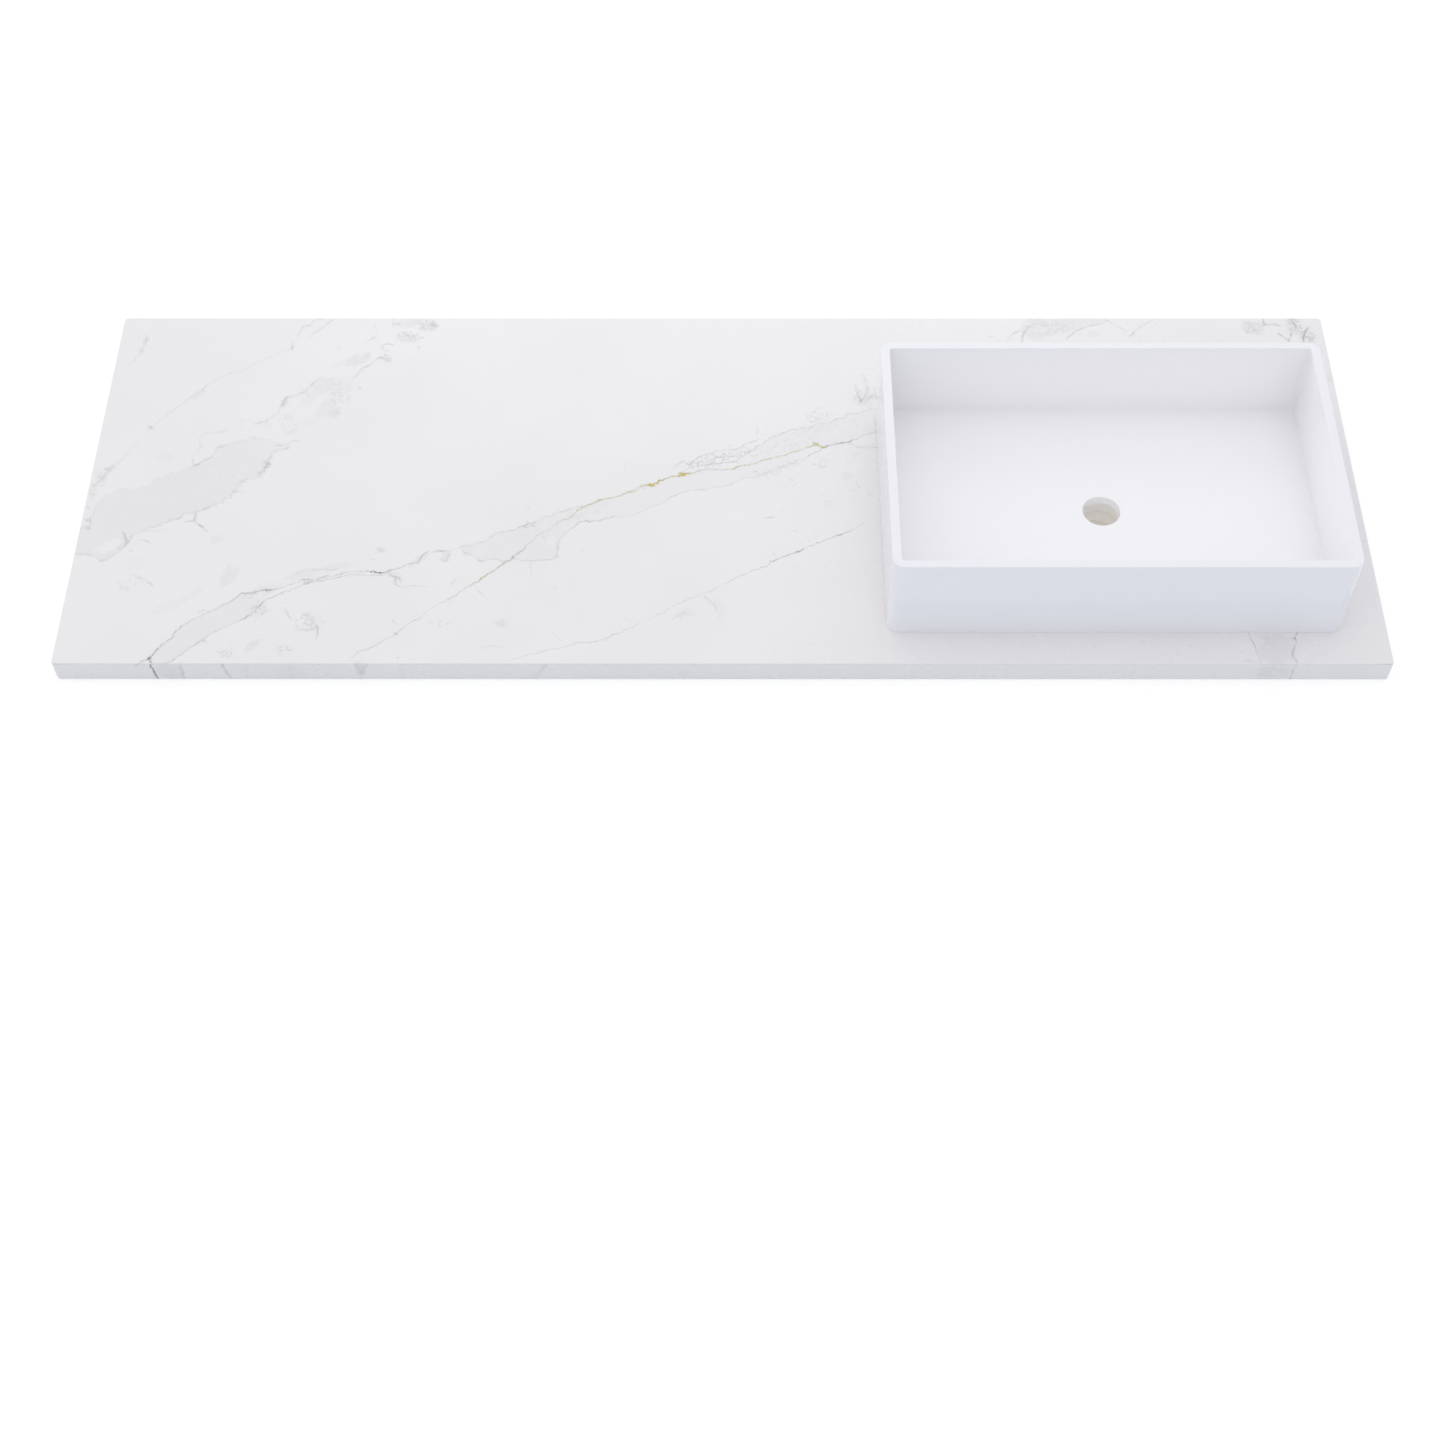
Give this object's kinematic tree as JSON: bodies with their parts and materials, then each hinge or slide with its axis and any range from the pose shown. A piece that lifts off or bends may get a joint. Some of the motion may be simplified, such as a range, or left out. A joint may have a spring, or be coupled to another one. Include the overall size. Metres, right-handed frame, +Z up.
{
  "type": "vanity sink top",
  "caption": "Veined stone vanity top with a thick mitred edge and a rectangular flat-floored vessel basin with a centred drain hole, bonded towards its right-hand end.",
  "frame": {"origin": "centre of the underside", "axes": "+X to the right-hand end (the basin's end), +Y to the wall, +Z up"},
  "size_m": [1.5494, 0.5588, 0.15],
  "materials": {
    "veined_stone": "honed white stone with grey veins",
    "plywood": "raw moisture-resistant plywood",
    "adhesive": "cured polyurethane adhesive",
    "basin_glaze": "semi-gloss white",
    "silicone": "translucent sanitary silicone"
  },
  "bodies": {
    "root": {"top_panel": "veined_stone", "front_apron": "veined_stone", "left_apron": "veined_stone", "right_apron": "veined_stone", "back_strip": "veined_stone", "front_batten": "plywood", "back_batten": "plywood", "cross_batten_1": "plywood", "cross_batten_2": "plywood", "cross_batten_3": "plywood", "cross_batten_4": "plywood", "cross_batten_5": "plywood", "drain_batten": "plywood", "front_adhesive": "adhesive", "back_adhesive": "adhesive", "cross_adhesive_1": "adhesive", "cross_adhesive_2": "adhesive", "cross_adhesive_3": "adhesive", "cross_adhesive_4": "adhesive", "cross_adhesive_5": "adhesive", "drain_adhesive": "adhesive", "basin": "basin_glaze", "basin_foot_seal": "silicone", "drain_seal": "silicone"}
  },
  "joints": []
}
